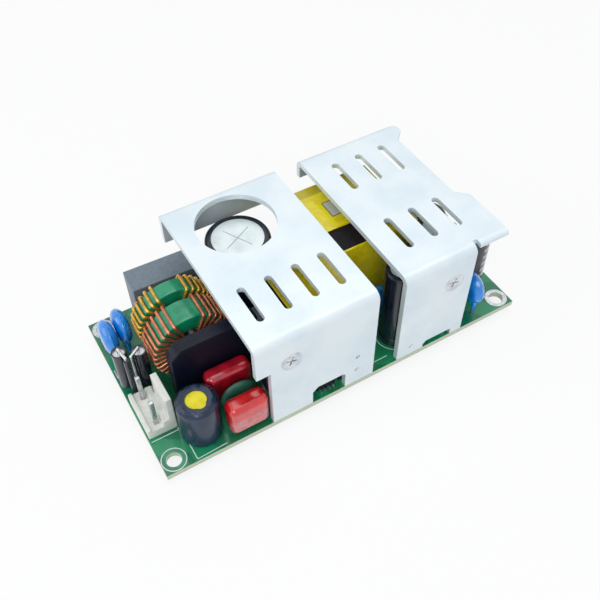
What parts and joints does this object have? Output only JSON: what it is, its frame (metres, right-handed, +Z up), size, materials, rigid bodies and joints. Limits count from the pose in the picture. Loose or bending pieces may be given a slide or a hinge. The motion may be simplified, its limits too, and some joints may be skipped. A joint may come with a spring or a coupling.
{
  "type": "open frame power supply",
  "caption": "Open frame power supply: printed board with filter chokes, capacitors, transformer and headers under two folded, slotted aluminium heatsink plates.",
  "frame": {"origin": "middle of the board's four mounting holes, on the underside of the board", "axes": "+X along the board from the input header to the output header, +Z up from the board to the plates, -Y towards the upright plate walls"},
  "size_m": [0.1016, 0.0508, 0.0336],
  "materials": {
    "board": "green solder mask over glass epoxy",
    "solder": "bright solder",
    "plate_aluminium": "plain pale sheet, faint marks",
    "tinned_metal": "tinned",
    "plated_steel": "plated",
    "insulator": "thin pad",
    "black_epoxy": "moulded",
    "can_aluminium": "drawn",
    "black_sleeve": "shrunk sleeve",
    "seal_rubber": "matt",
    "green_core": "painted ring core",
    "copper_wire": "enamelled copper wire",
    "gold_wire": "enamelled wire, golden",
    "black_plastic": "moulded",
    "grey_plastic": "moulded",
    "grey_box": "moulded box",
    "crimson_epoxy": "dipped coating",
    "red_epoxy": "dipped coating",
    "green_epoxy": "dipped coating",
    "blue_epoxy": "dipped coating",
    "navy_sleeve": "shrunk sleeve",
    "yellow_coat": "coated core",
    "white_nylon": "moulded",
    "ferrite": "sintered ferrite",
    "yellow_tape": "film tape",
    "label_paper": "blank label"
  },
  "bodies": {
    "root": {"pcb": "board", "solder_joints": "solder", "primary_plate": "plate_aluminium", "secondary_plate": "plate_aluminium", "plate_feet": "tinned_metal", "clamp_screws": "plated_steel", "clamp_nuts": "plated_steel", "insulator_pads": "insulator", "device_tabs": "tinned_metal", "device_bodies": "black_epoxy", "bridge_rectifier": "black_epoxy", "bridge_legs": "tinned_metal", "bulk_can": "can_aluminium", "bulk_sleeve": "black_sleeve", "output_cans": "can_aluminium", "output_sleeves": "black_sleeve", "capacitor_seals": "seal_rubber", "component_leads": "tinned_metal", "front_choke_core": "green_core", "front_winding_right": "copper_wire", "front_winding_left": "copper_wire", "rear_choke_core": "green_core", "rear_winding_right": "gold_wire", "rear_winding_left": "gold_wire", "choke_bases": "black_plastic", "choke_dividers": "grey_plastic", "x_capacitor": "grey_box", "film_capacitor_rear": "crimson_epoxy", "film_capacitor_front": "red_epoxy", "thermistor": "green_epoxy", "input_disc_capacitors": "blue_epoxy", "output_disc_capacitors": "blue_epoxy", "filter_sleeve": "navy_sleeve", "filter_core": "yellow_coat", "fuse_sleeves": "black_sleeve", "fuses": "tinned_metal", "input_header": "white_nylon", "input_pins": "tinned_metal", "output_header": "white_nylon", "output_pins": "tinned_metal", "transformer_core": "ferrite", "transformer_bobbin": "black_plastic", "transformer_coil": "copper_wire", "transformer_wrap": "yellow_tape", "transformer_front_tape": "yellow_tape", "transformer_label": "label_paper", "wound_part_pins": "tinned_metal", "boost_core": "ferrite", "boost_coil": "copper_wire", "boost_wrap": "yellow_tape", "boost_base": "black_plastic", "standby_transformer": "ferrite", "standby_coil": "yellow_tape", "resonant_capacitor": "grey_box", "optocouplers": "black_epoxy", "control_chips": "black_epoxy", "chip_terminals": "tinned_metal", "chip_resistors": "black_epoxy"}
  },
  "joints": []
}
